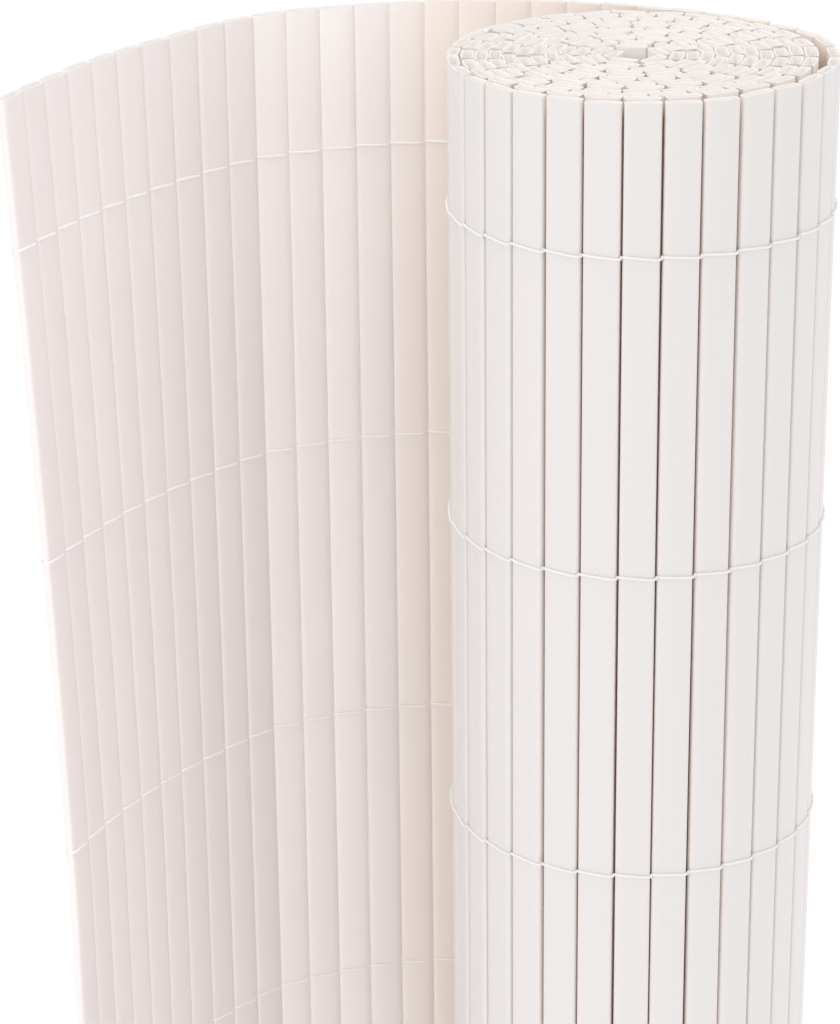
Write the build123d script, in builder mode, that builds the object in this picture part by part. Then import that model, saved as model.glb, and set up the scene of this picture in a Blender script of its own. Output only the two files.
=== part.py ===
# PVC slat fence, rolled up and standing on end, with its outer end swung out as a free wing.
# Upright hollow slats lie side by side, and rows of thread on both faces sew them into a mat.
# Millimetres, +Z up. The origin is on the ground, under the middle of the whole outline.

from build123d import *
from math import cos, degrees, pi, radians, sin, sqrt, tan
import os

# The mat
fence_height = 900
fence_length = 3000
slat_pitch = 13
slat_gap = 0.7
slat_thickness = 4
slat_wall = 0.5
edge_slope = 51  # degrees between a slat's face and the slope of its side edge

# The sewing
thread_rows = 8
thread_margin = 52  # from the slat ends to the first and last row
thread_height = 0.9
thread_thickness = 0.35

# The roll. Its path runs through the middle of the slats' thickness.
core_fold = 86  # degrees between neighbouring slats at the core
outer_slack = 3.5  # how far the outermost turn stands off at its loosest
leaving_angle = 51.3  # where the wing leaves the roll, anticlockwise from +X

# The wing: a stretch behind the roll, a bend, and a stretch that swings forward.
rear_slats = 14
rear_turn = 4.7  # degrees from each slat to the next
bend_turn = 13.4
front_slats = 10
front_turn = 2.7
hidden_thread_slats = 3  # both threads end this many slats short of the closed wedge

# Worked out from the above
slat_width = slat_pitch - slat_gap
edge_width = slat_thickness / 2 / tan(radians(edge_slope))
slat_count = round(fence_length / slat_pitch)
wing_slats = rear_slats + front_slats
rolled_slats = slat_count - wing_slats
layer_pitch = slat_thickness + 2 * thread_thickness
core_radius = slat_pitch / 2 / sin(radians(core_fold / 2))
roll_radius = sqrt(core_radius**2 + rolled_slats * slat_pitch * layer_pitch / pi)
thread_spacing = (fence_height - 2 * thread_margin) / (thread_rows - 1)


def roll_point(turned):
    # A point on the roll's path, by the degrees wound in from where the wing leaves.
    share_left = max(0, 1 - turned / 360)
    slack = outer_slack * sin(pi * share_left**4)
    radius = roll_radius - layer_pitch * turned / 360 + slack
    angle = radians(leaving_angle - turned)
    return Vector(radius * cos(angle), radius * sin(angle))


def wind_in():
    # The slats' joints along the roll, one pitch apart, and how far each is wound in.
    turned = [0]
    joints = [roll_point(0)]
    for slat in range(rolled_slats):
        step = degrees(slat_pitch / joints[-1].length)
        for correction in range(8):
            step *= slat_pitch / (roll_point(turned[-1] + step) - joints[-1]).length
        turned.append(turned[-1] + step)
        joints.append(roll_point(turned[-1]))
    return joints, turned


def swing_out():
    # The slats' joints along the wing, from its free end to the roll.
    joints = [roll_point(0)]
    heading = leaving_angle + 90
    turns = [rear_turn] * rear_slats + [front_turn] * front_slats
    turns[rear_slats] += bend_turn
    for turn in turns:
        heading += turn
        reach = Vector(cos(radians(heading)), sin(radians(heading))) * slat_pitch
        joints.append(joints[-1] + reach)
    return joints[:0:-1]


roll_joints, wound = wind_in()
joints = swing_out() + roll_joints


def slat_plane(index):
    # The plane of a slat's foot, with X along the mat and Y towards the roll's outside.
    along = joints[index + 1] - joints[index]
    return Plane(origin=(joints[index] + joints[index + 1]) / 2, x_dir=along, z_dir=(0, 0, 1))


def make_slats(indices, hollow):
    # Flat slats with sloped side edges, each standing on its own foot.
    side = slat_width / 2
    face = slat_thickness / 2
    shoulder = side - edge_width
    corners = [(-side, 0), (-shoulder, face), (shoulder, face), (side, 0), (shoulder, -face), (-shoulder, -face)]
    with BuildPart() as slats:
        with BuildSketch(*[slat_plane(index) for index in indices]):
            with BuildLine():
                Polyline(*corners, close=True)
            make_face()
            if hollow:
                offset(amount=-slat_wall, kind=Kind.INTERSECTION, mode=Mode.SUBTRACT)
        extrude(amount=fence_height)
    return slats.part


def face_line(count, reach):
    # The corners of a line along one face of the first slats, mitred from slat to slat.
    corners = []
    for index in range(count + 1):
        before = slat_plane(max(index - 1, 0)).y_dir
        after = slat_plane(min(index, count - 1)).y_dir
        middle = (before + after).normalized()
        corners.append(joints[index] + middle * reach / middle.dot(before))
    return corners


def make_thread(count, side):
    # One row of thread along a face: side is 1 on the roll's outside and -1 on its inside.
    near = face_line(count, side * slat_thickness / 2)
    far = face_line(count, side * (slat_thickness / 2 + thread_thickness))
    with BuildPart() as thread:
        with BuildSketch(Plane.XY.offset(thread_margin - thread_height / 2)):
            with BuildLine():
                Polyline(*near, *reversed(far), close=True)
            make_face()
        extrude(amount=thread_height)
    return thread.part


pieces = {}
for index in range(wing_slats):
    pieces[f"wing_slat_{index + 1:02d}"] = make_slats([index], hollow=True)

turn_count = int(wound[-2] // 360) + 1
for turn in range(turn_count):
    indices = [wing_slats + slat for slat in range(rolled_slats) if wound[slat] // 360 == turn]
    pieces[f"turn_{turn + 1:02d}_slats"] = make_slats(indices, hollow=turn == 0)

outer_slats = sum(1 for angle in wound[:-1] if angle < 360)
outside_thread = make_thread(wing_slats + outer_slats - hidden_thread_slats, 1)
inside_thread = make_thread(wing_slats - hidden_thread_slats, -1)
for row in range(thread_rows):
    height = Location((0, 0, row * thread_spacing))
    pieces[f"outside_thread_{row + 1}"] = outside_thread.moved(height)
    pieces[f"inside_thread_{row + 1}"] = inside_thread.moved(height)

outline = Compound(list(pieces.values())).bounding_box()
ground = Location((-outline.center().X, -outline.center().Y, 0))

os.makedirs("parts", exist_ok=True)
for name, piece in pieces.items():
    placed = piece.moved(ground)
    placed.label = name
    export_step(placed, f"parts/{name}.step")

print("fence:", slat_count, "slats,", turn_count, "turns, roll radius", round(roll_radius, 1))
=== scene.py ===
# White slat fence standing on end: a roll whose outer end is swung open as a wing.
# Lengths are in metres, written as millimetres times mm.
import bpy
import numpy as np
from math import cos, degrees, pi, radians, sin, sqrt
from mathutils import Matrix, Vector


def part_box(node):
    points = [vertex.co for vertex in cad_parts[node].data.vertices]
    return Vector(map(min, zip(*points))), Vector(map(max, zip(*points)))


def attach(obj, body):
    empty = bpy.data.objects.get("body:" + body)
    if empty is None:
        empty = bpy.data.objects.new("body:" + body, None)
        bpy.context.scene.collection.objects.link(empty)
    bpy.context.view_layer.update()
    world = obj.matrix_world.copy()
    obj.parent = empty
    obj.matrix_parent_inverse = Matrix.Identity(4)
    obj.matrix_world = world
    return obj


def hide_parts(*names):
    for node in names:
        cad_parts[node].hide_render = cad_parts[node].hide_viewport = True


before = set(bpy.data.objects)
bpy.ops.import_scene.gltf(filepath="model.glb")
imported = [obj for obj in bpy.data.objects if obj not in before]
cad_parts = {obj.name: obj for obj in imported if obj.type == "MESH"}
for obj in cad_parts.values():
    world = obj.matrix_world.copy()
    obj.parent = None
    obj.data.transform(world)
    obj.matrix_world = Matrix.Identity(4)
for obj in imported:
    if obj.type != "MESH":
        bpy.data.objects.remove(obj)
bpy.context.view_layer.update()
mm = 0.001
print("frame:", len(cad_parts), "nodes")


# Camera
camera = {
    "place": (-5.5 * mm, -1131.1 * mm, 1185.5 * mm),
    "pan": 0.041,        # degrees to the right of +Y
    "tilt": 21.94,       # degrees below the horizon
    "roll": -0.646,      # degrees about the view axis
    "lens": 119.0,
    "sensor": 36.0,
    "clip": (0.05, 50),
}


def setCamera(spec):
    # The view axis comes from pan and tilt, and the picture's own axes are turned about it by roll.
    pan, tilt, roll = (radians(spec[key]) for key in ("pan", "tilt", "roll"))
    forward = Vector((sin(pan) * cos(tilt), cos(pan) * cos(tilt), -sin(tilt)))
    level = Vector((cos(pan), -sin(pan), 0))
    upright = level.cross(forward)
    right = cos(roll) * level + sin(roll) * upright
    up = cos(roll) * upright - sin(roll) * level
    data = bpy.data.cameras.new("camera")
    data.lens, data.sensor_width = spec["lens"], spec["sensor"]
    data.clip_start, data.clip_end = spec["clip"]
    thing = bpy.data.objects.new("camera", data)
    axes = Matrix((right, up, -forward)).transposed().to_4x4()
    thing.matrix_world = Matrix.Translation(spec["place"]) @ axes
    bpy.context.scene.collection.objects.link(thing)
    bpy.context.scene.camera = thing


setCamera(camera)


# The mat's path, seen from above, in complex numbers x + iy
mat = {
    "height": 900 * mm,
    "length": 3000 * mm,
    "pitch": 13 * mm,      # from one slat to the next
    "layer": 4.7 * mm,     # from one turn of the roll to the next
    "coreFold": 86,        # degrees between neighbouring slats at the core
    "slack": 3.5 * mm,     # how far the outermost turn stands off at its loosest
    "leaving": 51.3,       # degrees from +X to where the wing leaves the roll
    "wingTurns": [4.7] * 14 + [16.1] + [2.7] * 9,  # degrees from slat to slat, going out along the wing
    "looseSlats": 10,      # at the free end
    "easing": 3,           # slats over which they take up their swing
    "swing": 5,            # degrees, see layMat
    "stretch": 0.4,        # of the pitch, see layMat
    "stretchLevel": 0.84,  # share of the height at which the loose slats are a pitch apart
    "closed": -0.045,      # share of the pitch by which the gaps can close
    "flare": (1.7 * mm, 2.8 * mm),  # how far the roll's right side stands out at the top, outside and within
    "flareTurned": (250, 360),      # degrees wound in, between which the one becomes the other
    "corrections": 8,      # rounds that set each joint exactly a pitch from the last
}


def layMat(spec, share):
    # The joints between slats at each share of the height, a pitch apart, and how far each is wound in.
    # The roll is a spiral that loses one layer a turn, with a sine bump of slack on its outermost turn.
    # The wing adds up its turns from the roll's tangent. Its loose end leans out at the top, because
    # the pitch grows by stretch * share * (share - stretchLevel), and swing * share * (1 - share) turns it.
    # The right side of the roll stands out at the top by flare * share^2 * (x / radius)^2.
    rolled = round(spec["length"] / spec["pitch"]) - len(spec["wingTurns"])
    core = spec["pitch"] / 2 / sin(radians(spec["coreFold"] / 2))
    radius = sqrt(core**2 + rolled * spec["pitch"] * spec["layer"] / pi)

    def point(turned):
        shareLeft = max(0, 1 - turned / 360)
        reach = radius - spec["layer"] * turned / 360 + spec["slack"] * sin(pi * shareLeft**4)
        return reach * np.exp(1j * radians(spec["leaving"] - turned))

    wound, roll = [0.0], [point(0)]
    for joint in range(rolled):
        step = degrees(spec["pitch"] / abs(roll[-1]))
        for correction in range(spec["corrections"]):
            step *= spec["pitch"] / abs(point(wound[-1] + step) - roll[-1])
        wound.append(wound[-1] + step)
        roll.append(point(wound[-1]))
    fromRoll = np.arange(1, len(spec["wingTurns"]) + 1)
    loose = ((fromRoll - len(fromRoll) + spec["looseSlats"]) / spec["easing"]).clip(0, 1)
    swing = spec["swing"] * share * (1 - share)
    stretch = (spec["stretch"] * share * (share - spec["stretchLevel"])).clip(spec["closed"])
    headings = spec["leaving"] + 90 + np.cumsum(spec["wingTurns"]) + swing[:, None] * loose
    steps = spec["pitch"] * (1 + stretch[:, None] * loose) * np.exp(1j * np.radians(headings))
    wing = roll[0] + np.cumsum(steps, axis=1)
    path = np.concatenate([wing[:, ::-1], np.tile(roll, (len(share), 1))], axis=1)
    wound = np.array(wound)
    flare = np.interp(np.concatenate([0 * fromRoll, wound]), spec["flareTurned"], spec["flare"])
    path += flare * share[:, None] ** 2 * (path.real / radius).clip(0, 1) ** 2
    return path, wound[:-1]


def matAt(height):
    # The slats' middles and the directions across them at these heights, one row a height.
    path, wound = layMat(mat, np.asarray(height) / mat["height"])
    path = path + offset
    return (path[:, :-1] + path[:, 1:]) / 2, np.diff(path) / abs(np.diff(path))


upright, wound = layMat(mat, np.zeros(1))
low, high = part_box("wing_slat_01")  # the free end's slat says where the whole path lies
offset = complex(*(low + high).xy / 2) - (upright[0, 0] + upright[0, 1]) / 2
wingCount = len(mat["wingTurns"])
turnOf = np.concatenate([np.zeros(wingCount, int), wound // 360 + 1]).astype(int)  # 0 on the wing
print("mat:", len(turnOf), "slats in", turnOf.max(), "turns")


# Meshes
sharpFrom = 62  # degrees between two faces, from which the edge between them stays sharp


def makePiece(name, points, quads, material, caps=()):
    # One mesh object at the origin. Its cut edges stay sharp, and all else is smooth.
    mesh = bpy.data.meshes.new(name)
    mesh.from_pydata(points.tolist(), [], quads.tolist() + [list(cap) for cap in caps])
    mesh.shade_smooth()
    mesh.set_sharp_from_angle(angle=radians(sharpFrom))
    mesh.materials.append(material)
    piece = bpy.data.objects.new(name, mesh)
    bpy.context.scene.collection.objects.link(piece)
    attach(piece, "root")
    return piece


def gridQuads(sheets, rows, columns, closedRows):
    # Corner numbers of the quads of several grids, whose columns close on themselves and rows may too.
    sheet, row, column = np.meshgrid(
        np.arange(sheets), np.arange(rows if closedRows else rows - 1), np.arange(columns), indexing="ij")
    nextRow, nextColumn = (row + 1) % rows, (column + 1) % columns
    corners = [(row, column), (row, nextColumn), (nextRow, nextColumn), (nextRow, column)]
    return np.stack([(sheet * rows + r) * columns + c for r, c in corners], -1).reshape(-1, 4)


def mark(piece, name, values):
    # A number on each of the mesh's points, for the material to read.
    attribute = piece.data.attributes.new(name, "FLOAT", "POINT")
    attribute.data.foreach_set("value", values.astype(np.float32).ravel())


# Slats
slat = {
    "thickness": 4 * mm,     # which the threads lie on
    "wall": 0.5 * mm,
    "coreSlats": 6,          # the innermost ones, which get less painted shade and a painted glow
    "hollowGlow": 0.45,      # share of the painted glow, painted light, that fills the hollows
    # coreGlow: painted light, a glow on the innermost slats
    "coreGlow": 0.6,
    "fromCore": (0, 4, 12, 30),        # slats counted from the core, and the share of their width
    "narrowed": (0.8, 0.9, 0.95, 1),   # that they keep, so that they clear each other at its folds
    "turnLift": 0.3 * mm,    # how far whole turns stand above or below each other
    "slowWave": 2.2, "quickWave": 7,   # radians of the two waves of its unevenness, from foot to top
    "quickShare": 0.5,       # how high the quick one is beside the slow one
    "edgeFrom": 0.9,         # share of the half width at which its edge begins
    "seed": 7,
}

slatKinds = {
    "wing": {
        "width": 12.9 * mm, "thickness": 4 * mm,
        "powers": (2.2, 5),  # p and q of the crowned section |x/a|^p + |y/b|^q = 1
        "sway": 0.1 * mm,    # how far a slat wanders in its gap
        "twist": 0.9,        # degrees that a slat turns on its own length
        "cut": 0.16 * mm,    # how unevenly the ends are cut
        "packed": 0,         # whether it lies packed between its neighbours; if so its faces get painted shade and a painted glow
        "edgeGlow": 1,       # share of the painted glow at its edges: painted light that lightens the gaps
        "uneven": 0.3,       # share of its tone that is chance. The loose slats are warmer and darker by the rest, painted shade
        "rollShade": (13, 15),  # slats, counted from the free end, between which the painted warm shade beside the roll begins
        "sides": 24, "rises": 12,
    },
    "outer": {
        "width": 12.3 * mm, "thickness": 4 * mm, "powers": (4, 5), "sway": 0.12 * mm, "twist": 0.8,
        "cut": 0.35 * mm, "packed": 0, "edgeGlow": 0, "uneven": 1,
        "rollShade": (0, 1),      # all of them have the painted warm shade on their inside
        "sides": 24, "rises": 12,
    },
    "inner": {
        "width": 12.5 * mm, "thickness": 4.6 * mm, "powers": (4, 5), "sway": 0.12 * mm, "twist": 1,
        "cut": 0.22 * mm, "packed": 1, "edgeGlow": 0, "uneven": 1,
        "rollShade": (231, 232),  # past the last slat, so none of them has it
        "sides": 12, "rises": 1,
    },
}


def makeSlats(name, chosen, kind, material):
    # Each slat is a closed grid: rows climb its outside, cross the cut end, go down its inside and
    # cross the foot. A row is the section x = a cos^(2/p), y = b sin^(2/q) round its angle.
    rng = np.random.default_rng(slat["seed"] * 1000 + chosen[0])
    angle = (np.arange(kind["sides"]) + 0.5) * 2 * pi / kind["sides"]
    roundX, roundY = (
        np.sign(part) * abs(part) ** (2 / power)
        for part, power in zip((np.cos(angle), np.sin(angle)), kind["powers"]))
    climb = np.linspace(0, 1, kind["rises"] + 1)
    level = np.concatenate([climb, climb[::-1]])
    inset = np.repeat([0, slat["wall"]], len(climb))
    x = (kind["width"] / 2 - inset)[:, None] * roundX
    y = (kind["thickness"] / 2 - inset)[:, None] * roundY

    def wander(reach):
        # A slow and a quick wave up the slat, each at its own phase:
        # reach * (sin(p + slow * level) + share * sin(q + quick * level)).
        phase = rng.uniform(0, 2 * pi, (2, len(chosen), 1))
        slow = np.sin(phase[0] + slat["slowWave"] * level)
        quick = slat["quickShare"] * np.sin(phase[1] + slat["quickWave"] * level)
        return reach * (slow + quick)[:, :, None]

    middles, alongs = (part[:, chosen].T[:, :, None] for part in matAt(level * mat["height"]))
    kept = np.interp(len(turnOf) - 1 - chosen, slat["fromCore"], slat["narrowed"])[:, None, None]
    local = (x * kept + 1j * y) * np.exp(1j * radians(1) * wander(kind["twist"])) + wander(kind["sway"])
    plan = middles + alongs * local
    lift, tilt = rng.uniform(-1, 1, (2, len(chosen), 1, 1)) * kind["cut"]
    lift += kind["packed"] * slat["turnLift"] * rng.uniform(-1, 1)
    z = level[:, None] * (mat["height"] + lift + tilt * roundX) * np.ones(plan.shape)
    points = np.stack([plan.real, plan.imag, z], -1).reshape(-1, 3)
    quads = gridQuads(len(chosen), len(level), len(angle), True)
    piece = makePiece(name, points, quads, material)
    tint = rng.uniform(0, kind["uneven"], len(chosen))
    # the loose slats keep a lower tone, nearer the darker inside colour: painted shade
    tint += (1 - kind["uneven"]) * (chosen >= mat["looseSlats"])
    mark(piece, "tint", tint[:, None, None] * np.ones(plan.shape))
    # painted light: the hollows get a lighter colour and a glow in the material
    mark(piece, "hollow", (inset[:, None] > 0) * np.ones(plan.shape))
    # toward the core the painted shade fades and a painted glow grows
    toCore = ((len(turnOf) - chosen) / slat["coreSlats"]).clip(0, 1)[:, None, None]
    # where the material paints shade and glow on the packed slats' faces
    mark(piece, "packed", kind["packed"] * toCore * np.ones(plan.shape))
    edge = ((abs(roundX) - slat["edgeFrom"]) / (1 - slat["edgeFrom"])).clip(0, 1)
    # painted shade in the gaps at the packed slats' edges
    mark(piece, "packedEdgeShade", kind["packed"] * toCore * edge * np.ones(plan.shape))
    # painted light: a glow at the wing's slat edges, on the innermost slats and in the hollows
    outsideGlow = kind["edgeGlow"] * edge + slat["coreGlow"] * (1 - toCore)
    glow = np.where(inset[:, None] > 0, slat["hollowGlow"], outsideGlow)
    mark(piece, "glow", glow * np.ones(plan.shape))
    # the inside face, which the material paints lighter and pinker: painted light and shade
    mark(piece, "matInside", (0.5 - 0.5 * roundY) * np.ones(plan.shape))
    # painted shade: the warm shade beside the roll
    rollShade = np.interp(chosen, kind["rollShade"], (0, 1))
    mark(piece, "rollShade", rollShade[:, None, None] * np.ones(plan.shape))
    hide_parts(name)


# Thread
thread = {
    "rows": 8,
    "margin": 52 * mm,       # from the slat ends to the first and last row
    "radius": 0.52 * mm,
    "proud": 0.7,            # share of its radius by which its middle lies off the slat
    "slope": 1.1 * mm,       # how far a stitch falls across its slat
    "turnBack": 14,          # power by which it climbs back within the gap
    "power": 4,              # of the superellipse that it follows
    "dip": {1: -20, -1: 24},          # degrees round the section past the slat's edge, on the two faces
    "sunkAt": (0.1, 0.35, 0.8, 1),    # shares of the pitch, and how deep it is pulled in there
    "sunk": {1: (0, 0, 0, 0), -1: (0, 0, 0, 1.8 * mm)},
    "looseSunk": {1: (0, 0, 0, 0), -1: (0, 0.5 * mm, 0.55 * mm, 1.8 * mm)},  # on the loose slats
    "sides": 8,
    "stitchSteps": 16,
    "hiddenSlats": 3,        # both threads end this many slats short of the closed wedge
    "knotRadius": 0.62 * mm,
    "knotThread": 0.26 * mm,
    "knotOut": 0.42,         # share of the slat's thickness from its middle to the knot's
    "knotStray": 0.5,        # share of the knot's radius by which it sits too high or low
    "knotSteps": 8, "knotSides": 5,
    "seed": 11,
}


def tube(path, outward, radius, sides):
    # Rings round a path: each is turned square to the path, starting from the given outward direction.
    ahead = np.gradient(path, axis=-2)
    ahead /= np.linalg.norm(ahead, axis=-1, keepdims=True)
    out = outward - (outward * ahead).sum(-1, keepdims=True) * ahead
    out /= np.linalg.norm(out, axis=-1, keepdims=True)
    side = np.cross(ahead, out)
    angle = (np.arange(sides) * 2 * pi / sides)[:, None]
    ring = np.cos(angle) * out[..., None, :] + np.sin(angle) * side[..., None, :]
    return path[..., None, :] + radius * ring


def space(plan, z):
    # Points in space, from places x + iy seen from above and their heights.
    return np.stack([plan.real, plan.imag, z * np.ones(plan.shape)], -1)


def stitchPath(count, face, level, spec):
    # The thread hugs each slat on a superellipse half a pitch wide and dips into the gaps by an angle
    # round it. It starts round the free edge, and climbs by a slope across each slat and back in the gap.
    dip = radians(spec["dip"][face])
    angle = np.tile(np.linspace(-dip, pi + dip, spec["stitchSteps"]), (count, 1))
    angle[0] = np.linspace(0, pi + dip, spec["stitchSteps"])
    across, up = (
        np.sign(part) * abs(part) ** (2 / spec["power"]) for part in (np.cos(angle), np.sin(angle)))
    x = -across * mat["pitch"] / 2
    y = up * (slat["thickness"] / 2 + spec["proud"] * spec["radius"])
    middles, alongs = (part[0, :count + 1] for part in matAt([level]))
    bisected = np.concatenate([alongs[:1], alongs[:-1] + alongs[1:]])
    share = x / mat["pitch"] + 0.5
    loose = np.arange(count)[:, None] < mat["looseSlats"]
    y -= np.where(loose, np.interp(share, spec["sunkAt"], spec["looseSunk"][face]),
                  np.interp(share, spec["sunkAt"], spec["sunk"][face]))
    normal = 1j * face * (bisected[:-1, None] * (1 - share) + bisected[1:, None] * share)
    normal /= abs(normal)
    plan = middles[:-1, None] + alongs[:-1, None] * x + normal * y
    toGap = abs(2 * share - 1).clip(0, 1)
    rise = face * spec["slope"] * (share - 0.5) * (1 - toGap ** spec["turnBack"])
    return space(plan, level + rise).reshape(-1, 3), space(normal, 0).reshape(-1, 3)


def knotRings(count, level, spec):
    # A ring in each gap, standing on edge round the outside thread: centre + R (cos a out + sin a up).
    rng = np.random.default_rng(spec["seed"] + int(level / mm))
    middles, alongs = (part[0, :count + 1] for part in matAt([level]))
    gaps = middles[:-1] + alongs[:-1] * mat["pitch"] / 2
    out = alongs[:-1] + alongs[1:]
    out = space(1j * out / abs(out), 0)
    centre = space(gaps, level) + out * slat["thickness"] * spec["knotOut"]
    centre[:, 2] += rng.uniform(-spec["knotStray"], spec["knotStray"], count) * spec["knotRadius"]
    angle = np.arange(spec["knotSteps"]) * 2 * pi / spec["knotSteps"]
    spoke = np.cos(angle)[:, None] * out[:, None] + np.sin(angle)[:, None] * np.array((0, 0, 1))
    across = np.cross(out, (0, 0, 1))[:, None, None]
    turn = (np.arange(spec["knotSides"]) * 2 * pi / spec["knotSides"])[:, None]
    ring = np.cos(turn) * spoke[:, :, None] + np.sin(turn) * across
    return (centre[:, None] + spec["knotRadius"] * spoke)[:, :, None] + spec["knotThread"] * ring


def makeThread(name, count, face, row, material, spec):
    level = spec["margin"] + row * (mat["height"] - 2 * spec["margin"]) / (spec["rows"] - 1)
    path, outward = stitchPath(count, face, level, spec)
    rings = tube(path, outward, spec["radius"], spec["sides"])
    rows, sides = rings.shape[:2]
    points = rings.reshape(-1, 3)
    quads = gridQuads(1, rows, sides, False)
    if face < 0:
        quads = quads[:, ::-1]
    ends = [np.arange(sides)[::-1], np.arange(sides) + (rows - 1) * sides]
    if face > 0:
        knots = knotRings(count, level, spec)
        quads = np.concatenate([quads, gridQuads(*knots.shape[:3], True)[:, ::-1] + len(points)])
        points = np.concatenate([points, knots.reshape(-1, 3)])
    piece = makePiece(name, points, quads, material, ends)
    mark(piece, "outside", np.full(len(points), face > 0))
    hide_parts(name)


# Materials
class Wire:
    # An output in a material's tree. Arithmetic on it adds Math nodes.
    def __init__(self, paint, socket):
        self.paint, self.socket = paint, socket

    def join(self, operation, first, second):
        return self.paint.node("ShaderNodeMath", {"operation": operation}, {0: first, 1: second})

    def __add__(self, other):
        return self.join("ADD", self, other)

    def __sub__(self, other):
        return self.join("SUBTRACT", self, other)

    def __rsub__(self, other):
        return self.join("SUBTRACT", other, self)

    def __mul__(self, other):
        return self.join("MULTIPLY", self, other)

    def __gt__(self, other):
        return self.join("GREATER_THAN", self, other)

    __radd__, __rmul__ = __add__, __mul__


class Paint:
    # One material. node() adds a node of a type, gives it its settings, then its sockets' values or links.
    def __init__(self, name):
        self.material = bpy.data.materials.new(name)
        self.material.use_nodes = True
        self.tree = self.material.node_tree
        self.tree.nodes.clear()

    def node(self, kind, settings, sockets, outlet=0):
        made = self.tree.nodes.new(kind)
        for key, value in settings.items():
            setattr(made, key, value)
        for key, value in sockets.items():
            if isinstance(value, Wire):
                self.tree.links.new(value.socket, made.inputs[key])
            else:
                made.inputs[key].default_value = value
        return Wire(self, made.outputs[outlet]) if made.outputs else None

    def blend(self, first, second, share):
        return self.node("ShaderNodeMix", {"data_type": "RGBA"}, {0: share, 6: first, 7: second}, 2)

    def finish(self, **sockets):
        values = {key.replace("_", " "): value for key, value in sockets.items()}
        surface = self.node("ShaderNodeBsdfPrincipled", {}, values)
        self.node("ShaderNodeOutputMaterial", {}, {"Surface": surface})
        return self.material


plastic = {
    "warm": (0.735, 0.703, 0.693, 1),
    "cool": (0.725, 0.705, 0.692, 1),
    "insideLitWarm": (0.822, 0.755, 0.75, 1),   # the mat's inside face, which the wing shows, painted lighter: painted light. Its loose slats,
    "insideLitCool": (0.955, 0.9, 0.88, 1),     # and the rest. The loose slats' darker, pinker tone is painted shade
    "rollShade": (0.92, 0.83, 0.765, 1),      # painted warm shade on the inside face beside the roll
    "cutEndShade": (0.7, 0.688, 0.677, 1),          # the cut ends, which look up, darker than the faces to offset the light from above: painted shade
    "hollow": (0.92, 0.9, 0.885, 1),         # within the slats, painted lighter than the faces: painted light
    "glow": (0.1, 0.09, 0.083),           # painted light: a glow that stands for light through the thin plastic
    "rimGlow": 1.8,                       # times that painted glow, on packed faces just under the cut
    "deepGlow": 0.7,                      # and further down
    "paintedShade": (0.5, 0.41, 0.36, 1),         # painted shade between the turns
    "deepFrom": 2.5 * mm, "deepTo": 9 * mm,  # under the slats' ends, over which the painted shade grows
    "edgeShade": (0.4, 0.8),               # share of the painted shade on packed edges, at the cut and further down
    "tintShare": 0.85,                    # how far a slat's own tone goes from warm to cool,
    "cloudShare": 0.3, "toneShift": 0.075,  # and the clouds over all slats, less a shift
    "cloudScale": 14, "cloudDetail": 3,
    "cutFacing": 0.5,                     # a face that looks up by more is a cut end
    "roughness": 0.42, "roughnessSpread": 0.12,
    "streaksAcross": 1300,                # per metre
    "streaksUp": 5, "streakDetail": 2,
    "bump": 0.35, "bumpDepth": 0.02 * mm,
}


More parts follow.
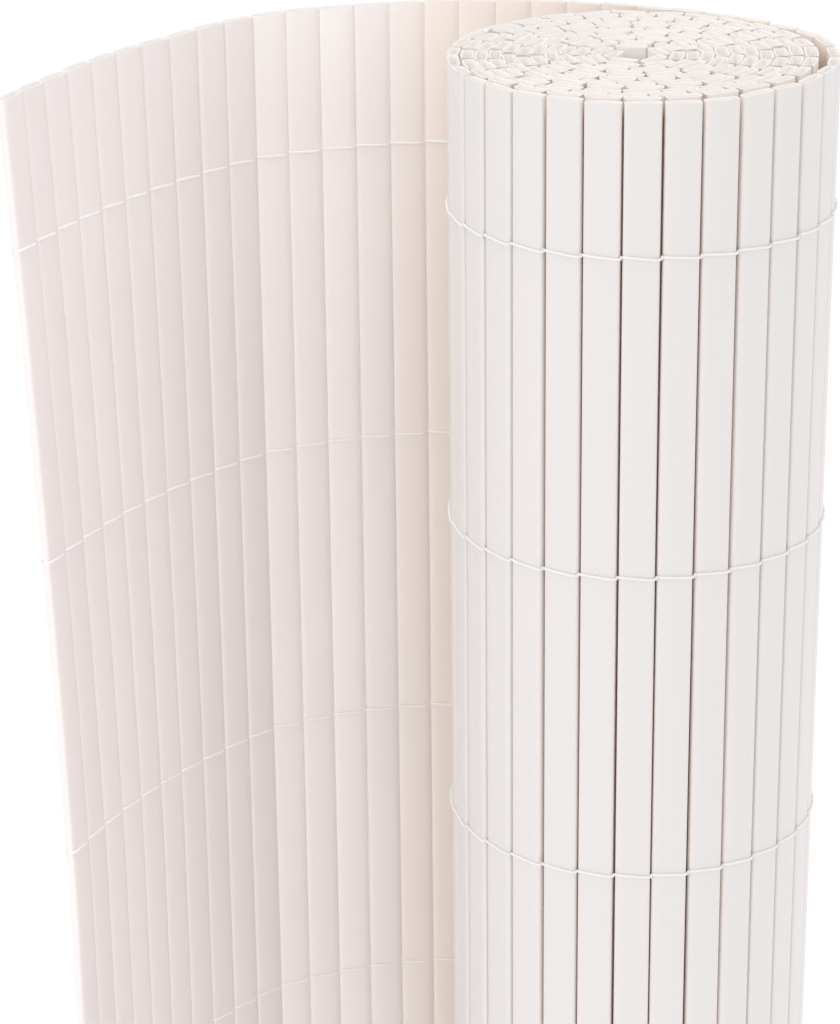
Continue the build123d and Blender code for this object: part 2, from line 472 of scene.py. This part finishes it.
def slatPlastic(spec):
    paint = Paint("slatPlastic")
    place = paint.node("ShaderNodeTexCoord", {}, {}, "Object")
    z = paint.node("ShaderNodeSeparateXYZ", {}, {"Vector": place}, "Z")
    drawn = paint.node("ShaderNodeMapping", {}, {
        "Vector": place, "Scale": (spec["streaksAcross"], spec["streaksAcross"], spec["streaksUp"])})
    streak = paint.node("ShaderNodeTexNoise", {}, {
        "Vector": drawn, "Scale": 1, "Detail": spec["streakDetail"]}, "Fac")
    cloud = paint.node("ShaderNodeTexNoise", {}, {
        "Vector": place, "Scale": spec["cloudScale"], "Detail": spec["cloudDetail"]}, "Fac")
    tint, hollow, packed, packedEdgeShade, matInside, rollShade, glow = (
        paint.node("ShaderNodeAttribute", {"attribute_name": name}, {}, "Fac")
        for name in ("tint", "hollow", "packed", "packedEdgeShade", "matInside", "rollShade", "glow"))
    face = paint.node("ShaderNodeNewGeometry", {}, {}, "Normal")
    cut = paint.node("ShaderNodeSeparateXYZ", {}, {"Vector": face}, "Z") > spec["cutFacing"]
    shade = paint.node("ShaderNodeMapRange", {"interpolation_type": "SMOOTHSTEP"}, {
        "Value": z,
        "From Min": mat["height"] - spec["deepFrom"],
        "From Max": mat["height"] - spec["deepTo"]})
    mixed = tint * spec["tintShare"] + cloud * spec["cloudShare"] - spec["toneShift"]
    colour = paint.blend(spec["warm"], spec["cool"], mixed)
    # painted light and shade: the inside face gets its own lighter, pinker colour
    inside = paint.blend(spec["insideLitWarm"], spec["insideLitCool"], mixed)
    # painted shade: warm shade beside the roll
    inside = paint.blend(inside, spec["rollShade"], rollShade)
    colour = paint.blend(colour, inside, matInside * (1 - packed))
    # painted shade on packed faces, growing with depth under the cut
    colour = paint.blend(colour, spec["paintedShade"], shade * packed)
    # painted shade in the gaps between packed slats
    atCut, below = spec["edgeShade"]
    colour = paint.blend(colour, spec["paintedShade"], packedEdgeShade * (atCut + shade * (below - atCut)))
    # painted light: the hollows are lighter than the faces
    colour = paint.blend(colour, spec["hollow"], hollow)
    # painted shade: faces that look up, the cut ends, are darker
    colour = paint.blend(colour, spec["cutEndShade"], cut)
    # painted light: a glow on packed faces, strongest just under the cut
    packedFace = packed * (1 - packedEdgeShade) * (1 - hollow)
    glow = glow + packedFace * (spec["rimGlow"] * (1 - shade) + spec["deepGlow"] * shade)
    # painted light: the glow is given off as emission, none of it on the cut ends
    glow = paint.node("ShaderNodeVectorMath", {"operation": "SCALE"}, {
        "Vector": spec["glow"], "Scale": glow * (1 - cut)})
    normal = paint.node("ShaderNodeBump", {}, {
        "Strength": spec["bump"], "Distance": spec["bumpDepth"], "Height": streak}, "Normal")
    paint.material.cycles.emission_sampling = "NONE"
    spread = spec["roughnessSpread"]
    return paint.finish(
        Base_Color=colour, Roughness=streak * spread + (spec["roughness"] - spread / 2), Normal=normal,
        Emission_Color=glow, Emission_Strength=1)


yarn = {
    "inside": (0.88, 0.865, 0.855, 1),   # on the mat's two faces: the inside one painted lighter, painted light, the outside one darker, painted shade
    "outside": (0.755, 0.742, 0.733, 1),
    "fuzz": (0.6, 0.58, 0.56, 1), "fuzzShare": 0.15,
    "fuzzScale": 2500, "fuzzDetail": 2,
    # painted light: a glow on the thread
    "glow": (0.065, 0.062, 0.06, 1),
    "roughness": 0.5,
    "bump": 0.5, "bumpDepth": 0.05 * mm,
}


def threadYarn(spec):
    paint = Paint("threadYarn")
    place = paint.node("ShaderNodeTexCoord", {}, {}, "Object")
    fuzz = paint.node("ShaderNodeTexNoise", {}, {
        "Vector": place, "Scale": spec["fuzzScale"], "Detail": spec["fuzzDetail"]}, "Fac")
    outside = paint.node("ShaderNodeAttribute", {"attribute_name": "outside"}, {}, "Fac")
    # painted light and shade: the inside thread lighter, the outside thread darker
    colour = paint.blend(spec["inside"], spec["outside"], outside)
    colour = paint.blend(colour, spec["fuzz"], fuzz * spec["fuzzShare"])
    normal = paint.node("ShaderNodeBump", {}, {
        "Strength": spec["bump"], "Distance": spec["bumpDepth"], "Height": fuzz}, "Normal")
    paint.material.cycles.emission_sampling = "NONE"
    return paint.finish(
        Base_Color=colour, Roughness=spec["roughness"], Normal=normal,
        Emission_Color=spec["glow"], Emission_Strength=1)


plasticMaterial = slatPlastic(plastic)
yarnMaterial = threadYarn(yarn)

for index in range(wingCount):
    makeSlats(f"wing_slat_{index + 1:02d}", np.array([index]), slatKinds["wing"], plasticMaterial)
for turn in range(1, turnOf.max() + 1):
    kind = slatKinds["outer" if turn == 1 else "inner"]
    makeSlats(f"turn_{turn:02d}_slats", np.flatnonzero(turnOf == turn), kind, plasticMaterial)
print("slats made")

outsideCount = int((turnOf <= 1).sum()) - thread["hiddenSlats"]
for row in range(thread["rows"]):
    makeThread(f"outside_thread_{row + 1}", outsideCount, 1, row, yarnMaterial, thread)
    makeThread(f"inside_thread_{row + 1}", wingCount - thread["hiddenSlats"], -1, row, yarnMaterial, thread)
print("threads made")


# Floor, light and the picture's tones
stage = {
    "floor": 40.0,  # half its size
    "floorColour": (0.97, 0.97, 0.97, 1), "floorRoughness": 0.9,
    "world": 1.03,
    "bounces": 10,  # white slats light each other deep in the roll
}

softboxes = {
    "front": {"place": (-2.3, -2.2, 2.0), "size": 2.4, "power": 13.5, "colour": (1, 1, 1)},
    "right": {"place": (2.6, -1.2, 1.6), "size": 1.8, "power": 2, "colour": (1, 0.95, 0.92)},
    "above": {"place": (-0.1, 0.1, 2.7), "size": 1.2, "power": 10, "colour": (1, 1, 1)},
}


def makeFloor(spec):
    half = spec["floor"]
    mesh = bpy.data.meshes.new("floor")
    corners = [(x * half, y * half, 0) for x, y in ((-1, -1), (1, -1), (1, 1), (-1, 1))]
    mesh.from_pydata(corners, [], [(0, 1, 2, 3)])
    paint = Paint("floorPaper")
    mesh.materials.append(paint.finish(Base_Color=spec["floorColour"], Roughness=spec["floorRoughness"]))
    floor = bpy.data.objects.new("floor", mesh)
    bpy.context.scene.collection.objects.link(floor)


def hangSoftbox(name, spec):
    data = bpy.data.lights.new(name, "AREA")
    data.size, data.energy, data.color = spec["size"], spec["power"], spec["colour"]
    light = bpy.data.objects.new(name, data)
    light.location = spec["place"]
    aim = Vector((0, 0, mat["height"] / 2)) - light.location
    light.rotation_euler = aim.to_track_quat("-Z", "Y").to_euler()
    bpy.context.scene.collection.objects.link(light)


makeFloor(stage)
for name, spec in softboxes.items():
    hangSoftbox(name, spec)
world = bpy.data.worlds.new("studio")
world.use_nodes = True
world.node_tree.nodes["Background"].inputs["Color"].default_value = (1, 1, 1, 1)
world.node_tree.nodes["Background"].inputs["Strength"].default_value = stage["world"]
bpy.context.scene.world = world
bpy.context.scene.view_settings.view_transform = "Standard"
bpy.context.scene.cycles.diffuse_bounces = stage["bounces"]
print("floor and lights set")
